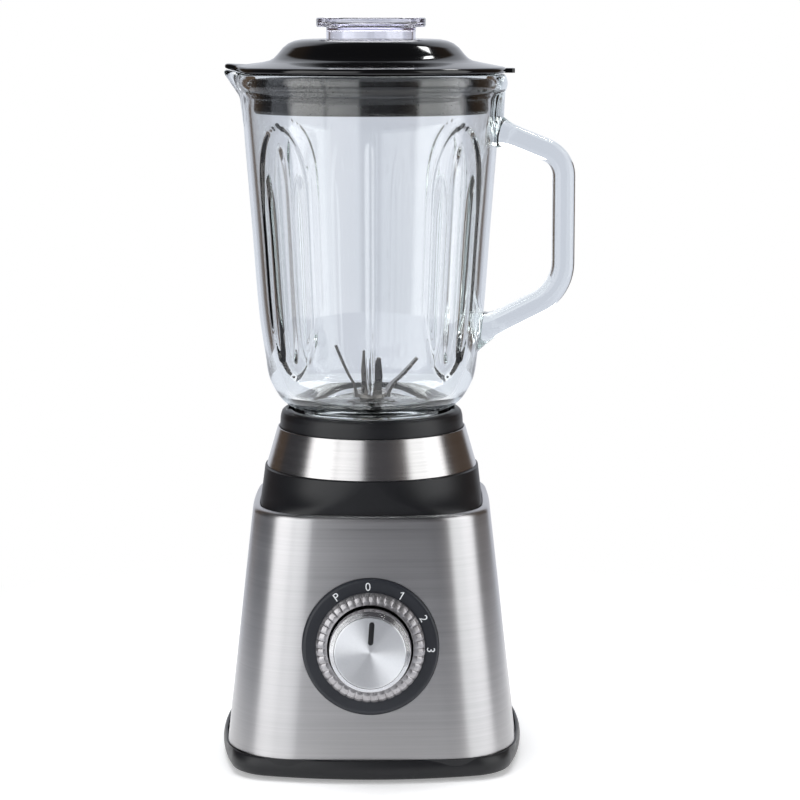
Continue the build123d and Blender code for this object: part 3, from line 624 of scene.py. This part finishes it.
# stepped chrome knob
prof = [(0, 22.0), (18.4, 22.0), (18.4, 24.0), (18.75, 24.0), (18.8, 23.2), (19.2, 23.2), (19.25, 22.4), (19.65, 22.4), (19.7, 21.6), (20.15, 21.6), (20.2, 20.7), (20.7, 20.7),
        (21.05, 17.0), (21.4, 12.0), (21.4, 2.6), (19.4, 2.6), (17.6, 20.0), (0, 20.0)]
prof = fillet(prof, {-1: 0.1, 11: 0.3, 12: 1.5, 13: 2.0, 14: 0.3}, 5, closed=False)
hub = turned(fillet([(3.02, 3.0), (5.6, 3.0), (5.6, 20.4), (3.02, 20.4)], 0.2, 3), 64)
build("knob_rim", [place(turned(prof, 220, closed=False), FRONT), place(hub, FRONT)], MATS["chrome"], "knob", ["knob_body"])

turn4 = Matrix.Rotation(math.radians(-4), 4, "Z")
prof = fillet([(0, 22.05), (18.3, 22.05), (18.3, 23.95), (17.9, 24.3), (0, 24.3)], {-1: 0.15, 3: 0.3}, 4, closed=False)
slot_cut = place(slab(0, 9.8, 23.7, 25.2, 3.1, 12.1, 1.53, 10), FRONT @ turn4)
build("knob_cap", place(turned(prof, 220, closed=False), FRONT), MATS["spun_aluminium"], "knob", ["knob_face"], cuts=[slot_cut])
build("knob_mark", place(slab(0, 9.8, 23.72, 24.2, 2.7, 11.7, 1.33, 10), FRONT @ turn4), MATS["black_plastic"], "knob", ["knob_pointer"])

# dial figures, generic: pulse, off and three speeds


def lettering(name, words, size, depth, where, mat, body, bevel=0.0):
    """Raised figures as one mesh. where(x, y, z, item) maps a letter's own mm to the row frame's mm."""
    verts, faces = [], []
    for item, text in words:
        if text == "1":
            k = len(verts)
            h = size * 0.36
            one = [(0.03, -h), (0.125, -h), (0.125, h), (0.05, h), (-0.15, h * 0.60), (-0.15, h * 0.42), (0.03, h * 0.70)]
            one = [(q[0] * size, q[1]) for q in one]
            for zz in (0.0, depth):
                for q in one:
                    verts.append(where(q[0], q[1], zz, item))
            m1 = len(one)
            for a in range(m1):
                b = (a + 1) % m1
                faces.append((k + a, k + b, k + m1 + b, k + m1 + a))
            for tri in ((0, 1, 6), (1, 2, 6), (2, 3, 6), (3, 4, 5), (3, 5, 6)):
                faces.append(tuple(k + a for a in reversed(tri)))
                faces.append(tuple(k + m1 + a for a in tri))
            continue
        cu = bpy.data.curves.new("figure", "FONT")
        cu.body = text
        cu.size = size
        cu.align_x, cu.align_y = "CENTER", "CENTER"
        cu.extrude = depth / 2
        cu.bevel_depth = bevel
        cu.resolution_u = 6
        ob = bpy.data.objects.new("figure", cu)
        scene.collection.objects.link(ob)
        bpy.context.view_layer.update()
        dg = bpy.context.evaluated_depsgraph_get()
        me = bpy.data.meshes.new_from_object(ob.evaluated_get(dg))
        k = len(verts)
        for q in me.vertices:
            verts.append(where(q.co.x, q.co.y, q.co.z + depth / 2, item))
        faces += [tuple(i + k for i in f.vertices) for f in me.polygons]
        bpy.data.objects.remove(ob)
        bpy.data.curves.remove(cu)
        bpy.data.meshes.remove(me)
    return build(name, (verts, faces), mat, body, weighted=False, angle=30)


def on_dial(x, y, z, deg):
    a = math.radians(deg)
    y += 31.1
    return tuple(FRONT @ Vector((x * math.cos(a) + y * math.sin(a), -x * math.sin(a) + y * math.cos(a), 2.0 + z)))


lettering("dial_figures", [(-34.2, "P"), (-2.3, "0"), (30.6, "1"), (61.7, "2"), (92.8, "3")], 6.0, 0.06, on_dial, MATS["label_white"], "base")

# ====================================================================== glass jug

OUT = [(35.8, 165), (35.8, 174), (35.8, 181.6), (37.0, 184.4), (40.6, 186.4), (45.2, 188.4), (48.8, 191.6), (51.4, 195.5), (53.8, 200), (55.4, 204.8), (56.7, 214), (59.7, 234.5),
       (63.5, 284), (67.3, 334), (68.2, 346), (69.2, 354.5), (71.0, 357.5), (71.5, 359.2), (71.5, 362.2), (71.1, 363.4), (70.2, 363.95), (69.2, 364.0)]
INN = [(67.4, 364.0), (66.6, 363.6), (66.15, 362.4), (65.6, 357), (64.2, 350), (62.9, 334), (58.8, 284), (55, 234.5), (51.9, 214), (50.4, 206), (48, 200), (45, 195.4), (41.5, 192.4),
       (36.5, 189.8), (33.0, 188.4), (31.6, 187.0), (31.3, 184.5), (31.3, 175), (31.3, 165)]


def prof_r(table, z):
    zs = np.array([q[1] for q in table], float)
    rs = np.array([q[0] for q in table], float)
    k = np.argsort(zs, kind="stable")
    return np.interp(z, zs[k], rs[k])


def ends(z, z0, z1, l0, l1):
    """Half width factor of a long shape with rounded ends between heights z0 and z1."""
    if z <= z0 or z >= z1:
        return 0.0
    f = 1.0
    if z < z0 + l0:
        f = math.sqrt(max(1 - ((z0 + l0 - z) / l0) ** 2, 0))
    if z > z1 - l1:
        f = min(f, math.sqrt(max(1 - ((z - z1 + l1) / l1) ** 2, 0)))
    return f


def relief(th, z, r):
    """Pressed relief of the outer wall: arched panels at the corners, ribs inside them, a fine rib front and back."""
    d = np.zeros_like(th)
    for c in (45, 135, 225, 315):
        a = np.degrees(np.angle(np.exp(1j * (th - math.radians(c)))))
        u = np.radians(a) * r
        w = 0.285 * r * ends(z, 207, 338, 34, 34)
        if w > 0.3:
            s = np.clip((w - np.abs(u)) / 2.6, 0, 1)
            d -= 1.25 * s * s * (3 - 2 * s)
        for off, z1 in ((-10.5, 312), (10.5, 312), (0.0, 328)):
            ww = 0.082 * r * ends(z, 214, z1, 20, 24)
            if ww > 0.3:
                uu = (np.radians(a - off)) * r
                d += 1.45 * np.clip(1 - (uu / ww) ** 2, 0, 1) * min(ww / 2.0, 1)
    u = np.abs(np.angle(np.exp(1j * th)) * r)
    k = float(np.clip((z - 332) / 10, 0, 1) * np.clip((362.5 - z) / 3.0, 0, 1))
    if k > 0:
        s = np.clip((24.0 - u) / 22.0, 0, 1)
        d += max(73.0 - r, 0) * 0.5 * k * s * s * (3 - 2 * s)
    for c in (-90, 90):
        u = np.angle(np.exp(1j * (th - math.radians(c)))) * r
        w = 1.95 * ends(z, 200, 330, 12, 5)
        if w > 0.2:
            d += 1.0 * np.clip(1 - (u / w) ** 2, 0, 1)
    return d


def nose(th, tip, rad, cx, cy):
    """How far out a pouring nose reaches along each direction: a circle at the tip joined to a straight back."""
    psi = np.angle(np.exp(1j * (th - math.pi)))
    c = abs(tip) - rad
    lo, hi = 0.0, math.pi / 2
    for _ in range(40):
        mid = (lo + hi) / 2
        if (cx - c) * math.cos(mid) + cy * math.sin(mid) - rad < 0:
            lo = mid
        else:
            hi = mid
    ph = np.linspace(-lo, lo, 61)
    t = np.full_like(th, 1e9)
    for f in ph:
        den = np.cos(psi - f)
        h = c * math.cos(f) + rad
        t = np.where(den > 0.05, np.minimum(t, h / np.maximum(den, 0.05)), t)
    return np.where(np.abs(psi) < math.radians(42), t, 0.0)


def soft_max(a, b, k):
    return 0.5 * (a + b + np.sqrt((a - b) ** 2 + k * k)) - k * 0.5 * np.exp(-((a - b) / (3 * k)) ** 2) * 0.0


NT = 540
th = np.linspace(0, 2 * math.pi, NT, endpoint=False)
lip = [(340, 66.5), (351.5, 69.0), (358.8, 75.2), (361.6, 77.6), (364.1, 77.6)]
chan = [(343, 61.5), (352.5, 64.5), (360.2, 71.8), (362.4, 73.8), (364.1, 74.6)]


def at(table, z):
    return float(np.interp(z, [q[0] for q in table], [q[1] for q in table]))


rings = []
for r, z in flow(OUT, 1.7):
    rr = r + relief(th, z, r)
    if z > 338:
        b = nose(th, at(lip, z), 9.0, 42.0, 31.0)
        if z > 363.3:
            b = b - (z - 363.3) * 1.6
        rr = np.where(b > 0, soft_max(rr, b, 1.4), rr)
    rings.append(np.stack([rr * np.cos(th), rr * np.sin(th), np.full(NT, z)], 1))
for r, z in flow(INN, 2.6):
    rr = np.full(NT, r)
    if z > 341:
        b = nose(th, at(chan, z), 5.8, 42.0, 25.0)
        if z > 363.3:
            b = b + (z - 363.3) * 1.0
        rr = np.where(b > 0, soft_max(rr, b, 1.2), rr)
    rings.append(np.stack([rr * np.cos(th), rr * np.sin(th), np.full(NT, z)], 1))


def tip_up(geo):
    """Lifts the spout's end, and the brim over it, by up to 2.4 mm."""
    out = []
    for q in geo[0]:
        a = min(max((-q[0] - 63.0) / 17.0, 0), 1)
        b = min(max((q[2] - 344.0) / 18.0, 0), 1)
        out.append((q[0], q[1], q[2] + 2.4 * a * a * (3 - 2 * a) * b * b * (3 - 2 * b)))
    return out, geo[1]


jug = tip_up(skin(rings, loop=True))

# handle: a flat sided bar bent twice, swelling into the wall at both roots
path = fillet([(55, 225.6), (102.4, 249.3), (102.4, 320.3), (55, 339.2)], {1: 24.0, 2: 15.0}, 14, closed=False)
dense = []
for a, b in zip(path[:-1], path[1:]):
    k = max(1, int(np.linalg.norm(b - a) / 4.0))
    dense += [a + (b - a) * j / k for j in range(k)]
dense.append(path[-1])
dense = [q for q in dense if q[0] > (66.5 if q[1] < 280 else 75.0)]
sec = []
hw, ht, cr = 8.5, 5.85, 4.3
for k, (ux, uy) in enumerate(((1, 1), (-1, 1), (-1, -1), (1, -1))):
    for i in range(9):
        t = k * math.pi / 2 + i * math.pi / 16
        sec.append((ux * (hw - cr) + cr * math.cos(t), uy * (ht - cr) + cr * math.sin(t)))
sec = np.array(sec)
hrings = []
for i, q in enumerate(dense):
    d = dense[min(i + 1, len(dense) - 1)] - dense[max(i - 1, 0)]
    d /= np.linalg.norm(d)
    nrm = np.array([d[1], -d[0]])
    P = np.stack([q[0] + sec[:, 1] * nrm[0], sec[:, 0], q[1] + sec[:, 1] * nrm[1]], 1)
    hrings.append((P, d, nrm))


def root(P, d, nrm, sign):
    """Rings that carry the bar's end into the middle of the wall, widening as they go."""
    out = []
    dv = np.array([d[0], 0, d[1]]) * sign
    nv = np.array([nrm[0], 0, nrm[1]])
    side_ = sec[:, 1] / 5.85
    wide = sec[:, 0] / 8.5
    for f in (0.35, 0.6, 0.8, 0.92, 1.0, 1.12):
        Q = []
        for k, pt in enumerate(P):
            lo, hi = 0.0, 30.0
            base = pt + nv * side_[k] * 3.6 * f ** 2.4 + np.array([0, 1, 0]) * wide[k] * 1.6 * f ** 2.4
            for _ in range(30):
                mid = (lo + hi) / 2
                s = base + dv * mid
                wall = prof_r(OUT, s[2]) - 0.9
                if math.hypot(s[0], s[1]) > wall:
                    lo = mid
                else:
                    hi = mid
            Q.append(base + dv * lo * f)
        out.append(np.array(Q))
    return out


first, last = hrings[0], hrings[-1]
body_rings = list(reversed(root(*first, -1.0))) + [h[0] for h in hrings] + root(*last, 1.0)
bar = skin(body_rings, cap=(True, True))
jug_o = build("jug_glass", jug, MATS["glass"], "jug", ["glass_jug"], angle=60, weighted=False, unions=[bar])

# pressed scale: fine raised marks on the front of the wall, generic figures


def on_wall(x, y, z, item):
    zz = item[1] + y
    r = float(prof_r(OUT, zz)) + 0.03 + z
    a = -math.pi / 2 + (item[0] + x) / r
    return (r * math.cos(a), r * math.sin(a), zz)


words = [((-25, 338.2), "OZS"), ((-9, 338.2), "48"), ((1, 338.2), "-"), ((9, 338.2), "6"), ((25, 338.2), "CUPS")]
for i, (o, c) in enumerate(((40, 5), (32, 4), (24, 3), (16, 2), (8, 1))):
    z = 317 - 21.5 * i
    words += [((-9.5, z), str(o)), ((9.0, z), str(c)), ((-3.9, z), "-"), ((3.9, z), "-")]
lettering("jug_scale", words, 5.2, 0.22, on_wall, MATS["glass"], "jug")

# ====================================================================== lid and cap

NL = 320
thl = np.linspace(0, 2 * math.pi, NL, endpoint=False)
brim = np.maximum(np.full(NL, 71.4), 0)
brim = soft_max(brim, nose(thl, 77.3, 8.5, 42.0, 42.0), 1.0)
brim = np.where(np.abs(np.angle(np.exp(1j * (thl - math.pi)))) < math.radians(41), np.maximum(brim, 71.4), 71.4)
lid_prof = [(24.1, 380.0), (25.0, 380.9), (26.2, 381.5), (28.4, 382.05), (31.5, 382.3), (36.5, 382.05), (40.4, 381.3), (43.6, 380.0), (46.6, 377.6), (49.4, 374.2), (51.4, 372.2), (53.6, 371.0),
            (58.0, 370.0), (64.0, 368.85), (69.6, 367.75), (70.7, 367.45), (71.25, 366.8), (71.4, 366.0), (71.2, 365.1), (70.5, 364.55), (69.0, 364.4), (62.0, 364.4), (59.4, 364.4),
            (59.4, 355.0), (59.4, 346.2), (59.2, 346.0), (57.2, 346.0), (57.0, 346.2), (57.0, 365.6), (56.0, 367.4), (53.0, 368.7), (50.0, 370.2), (47.6, 372.8), (45.0, 376.0), (42.6, 378.2), (39.8, 379.3),
            (36.2, 380.0), (31.4, 380.2), (27.6, 379.8), (27.0, 378.8), (27.0, 361.7), (26.7, 361.4), (21.9, 361.4), (21.6, 361.7), (21.6, 363.8), (21.9, 364.1), (24.1, 364.2)]
rings = []
for r, z in lid_prof:
    k = min(max((r - 59.6) / (71.4 - 59.6), 0), 1) if z > 364.3 else 0.0
    rr = r + (brim - 71.4) * k
    zz = z - (brim - 71.4) * 0.04 * k if z > 364.6 else np.full(NL, z)
    rings.append(np.stack([rr * np.cos(thl), rr * np.sin(thl), np.zeros(NL) + np.maximum(zz, 364.4 if z > 364.3 else z)], 1))
tab = slab(70.6, 0, 364.6, 367.0, 10.6, 12.0, 2.2)
build("lid_shell", [tip_up(skin(rings, loop=True)), tab], MATS["black_gloss"], "lid", ["lid_cover"], angle=40, weighted=False)

prof = fillet([(59.45, 344.2), (61.2, 343.8), (62.2, 345.4), (62.4, 350.9), (63.6, 351.6), (63.6, 352.6), (62.8, 353.2), (63.2, 357.0), (64.9, 357.7), (64.9, 358.7), (63.8, 359.4), (64.6, 363.0),
               (66.0, 364.3), (59.45, 364.3)], {-1: 0.35}, 5)
build("lid_seal", turned(prof, 256), MATS["gasket_black"], "lid", ["lid_gasket"], angle=45)

prof = [(0, 386.9), (21.8, 386.9), (21.8, 364.3), (23.6, 364.3), (23.6, 388.0), (24.6, 388.5), (28.4, 388.5), (28.9, 389.4), (28.9, 392.6), (28.4, 393.3), (27.4, 393.2), (26.9, 390.8), (25.6, 389.8), (22.4, 389.4), (0, 389.4)]
prof = fillet(prof, {-1: 0.5, 1: 0.9, 2: 0.3, 3: 0.3, 4: 0.6, 5: 0.8, 6: 0.4, 8: 0.4, 9: 0.3, 11: 0.9, 12: 1.2}, 5, closed=False)
build("feed_cap", turned(prof, 200, closed=False), MATS["clear_plastic"], "cap", ["measuring_cap"], angle=45)

# ====================================================================== floor, light, camera

bm = bmesh.new()
bmesh.ops.create_circle(bm, cap_ends=True, segments=96, radius=0.9)
me = bpy.data.meshes.new("floor")
bm.to_mesh(me)
bm.free()
floor = bpy.data.objects.new("floor", me)
scene.collection.objects.link(floor)
floor.location.z = -0.0002
fm = bpy.data.materials.new("floor")
fm.use_nodes = True
g = Net(fm.node_tree)
out = g.n("ShaderNodeOutputMaterial")
tc = g.n("ShaderNodeTexCoord")
ln = g.n("ShaderNodeVectorMath", operation="LENGTH")
g.put(ln, 0, tc.outputs["Object"])
far = g.span(ln.outputs["Value"], 0.14, 0.46, 0, 1, smooth=True)
dif = g.n("ShaderNodeBsdfDiffuse")
g.put(dif, "Color", (0.86, 0.865, 0.875, 1))
e1 = g.n("ShaderNodeEmission")
g.put(e1, "Color", (1, 1, 1, 1))
g.put(e1, "Strength", 0.30)
add = g.n("ShaderNodeAddShader")
g.t.links.new(dif.outputs[0], add.inputs[0])
g.t.links.new(e1.outputs[0], add.inputs[1])
e2 = g.n("ShaderNodeEmission")
lp = g.n("ShaderNodeLightPath")
g.put(e2, "Color", g.blendc(lp.outputs["Is Camera Ray"], (0.78, 0.81, 0.88, 1), (1, 1, 1, 1)))
g.put(e2, "Strength", 1.0)
mix = g.n("ShaderNodeMixShader")
g.put(mix, 0, far)
g.t.links.new(add.outputs[0], mix.inputs[1])
g.t.links.new(e2.outputs[0], mix.inputs[2])
g.t.links.new(mix.outputs[0], out.inputs["Surface"])
me.materials.append(fm)

world = bpy.data.worlds.new("studio")
scene.world = world
world.use_nodes = True
g = Net(world.node_tree)
out = g.n("ShaderNodeOutputWorld")
tc = g.n("ShaderNodeTexCoord")
sep = g.n("ShaderNodeSeparateXYZ")
g.put(sep, 0, tc.outputs["Generated"])
x, y, z = sep.outputs
az = g.math("ARCTAN2", x, g.math("MULTIPLY", y, -1.0))
f = g.math("ADD", g.math("DIVIDE", az, 2 * math.pi), 0.5)


def deg(a):
    return a / 360.0 + 0.5


WHITE = (0.80, 0.83, 0.90)
DARK = (0.05, 0.05, 0.055)
BROWN = (0.10, 0.070, 0.050)
ROOM = (0.085, 0.083, 0.090)
CLEAR = (0.66, 0.685, 0.765)
DIM = (0.21, 0.215, 0.235)
base = g.ramp(f, [
    (deg(-180), WHITE), (deg(-151), WHITE), (deg(-145), BROWN), (deg(-122), BROWN), (deg(-118), DARK), (deg(-88), DARK), (deg(-80), DARK),
    (deg(-10), ROOM), (deg(20), ROOM), (deg(44), (0.17, 0.15, 0.14)), (deg(92), DARK), (deg(108), BROWN), (deg(144), BROWN), (deg(150), WHITE), (deg(180), WHITE)])
through = g.ramp(f, [
    (deg(-180), CLEAR), (deg(-151), CLEAR), (deg(-145), BROWN), (deg(-122), BROWN), (deg(-118), DARK), (deg(-108), DARK), (deg(-103), CLEAR), (deg(-77), CLEAR),
    (deg(-70), ROOM), (deg(-24), ROOM), (deg(-16), DIM), (deg(16), DIM), (deg(24), ROOM), (deg(44), (0.17, 0.15, 0.14)), (deg(76), DARK), (deg(82), CLEAR), (deg(99), CLEAR), (deg(104), DARK),
    (deg(110), BROWN), (deg(144), BROWN), (deg(150), CLEAR), (deg(180), CLEAR)])
lp = g.n("ShaderNodeLightPath")
base = g.blendc(lp.outputs["Is Transmission Ray"], base, through)
soft = g.ramp(f, [
    (deg(-180), (0, 0, 0)), (deg(-80), (0, 0, 0)), (deg(-75), (1, 1, 1)), (deg(-64), (1, 1, 1)), (deg(-43), (0.88, 0.89, 0.89)), (deg(-42), (0.35, 0.35, 0.36)), (deg(-40.5), (0.35, 0.35, 0.36)), (deg(-39.5), (0.86, 0.87, 0.87)),
    (deg(-12), (0.60, 0.61, 0.62)), (deg(-8), (0, 0, 0)), (deg(42), (0, 0, 0)), (deg(46), (0.80, 0.82, 0.82)), (deg(66), (0.74, 0.76, 0.76)), (deg(68), (0.90, 0.91, 0.92)), (deg(90), (1, 1, 1)), (deg(95), (0, 0, 0)), (deg(180), (0, 0, 0))])
up = g.span(z, -0.50, -0.42, 0, 1, smooth=True)
down = g.span(z, 0.66, 0.76, 1, 0, smooth=True)
win = g.math("MULTIPLY", up, down)
sky = g.span(z, 0.64, 0.80, 0, 1, smooth=True)
lit = g.n("ShaderNodeVectorMath", operation="SCALE")
g.put(lit, 0, soft)
g.put(lit, "Scale", g.math("MULTIPLY", win, 2.4))
sm = g.n("ShaderNodeVectorMath", operation="ADD")
g.put(sm, 0, base)
g.put(sm, 1, lit.outputs[0])
col = g.blendc(sky, sm.outputs[0], (0.035, 0.036, 0.041, 1))
bg = g.n("ShaderNodeBackground")
g.put(bg, "Color", col)
cam_bg = g.n("ShaderNodeBackground")
g.put(cam_bg, "Color", (1, 1, 1, 1))
lp = g.n("ShaderNodeLightPath")
mix = g.n("ShaderNodeMixShader")
g.put(mix, 0, lp.outputs["Is Camera Ray"])
g.t.links.new(bg.outputs[0], mix.inputs[1])
g.t.links.new(cam_bg.outputs[0], mix.inputs[2])
g.t.links.new(mix.outputs[0], out.inputs["Surface"])


def area(name, loc, aim, size, power, color=(1, 1, 1)):
    l = bpy.data.lights.new(name, "AREA")
    l.shape = "RECTANGLE"
    l.size, l.size_y = size
    l.energy = power
    l.color = color
    o = bpy.data.objects.new(name, l)
    scene.collection.objects.link(o)
    o.location = loc
    o.rotation_euler = (Vector(aim) - Vector(loc)).to_track_quat("-Z", "Y").to_euler()
    return o


top_light = area("overhead", (-0.15, -0.2, 1.5), (0, 0, 0.2), (1.1, 0.9), 13.0)
top_light.visible_glossy = False
back_light = area("back", (0.0, 1.1, 1.0), (0, 0, 0.1), (1.0, 0.6), 7.0)
back_light.visible_glossy = False
area("spark", (0.62, 0.50, 1.42), (0, 0, 0.36), (0.24, 0.15), 2.4)

cam = bpy.data.cameras.new("camera")
cam.lens = 112.8
cam.sensor_width = 36.0
co = bpy.data.objects.new("camera", cam)
scene.collection.objects.link(co)
co.location = (0.0153, -1.336, 0.393)
co.rotation_euler = (math.radians(90 - 8.66), 0, 0)
scene.camera = co
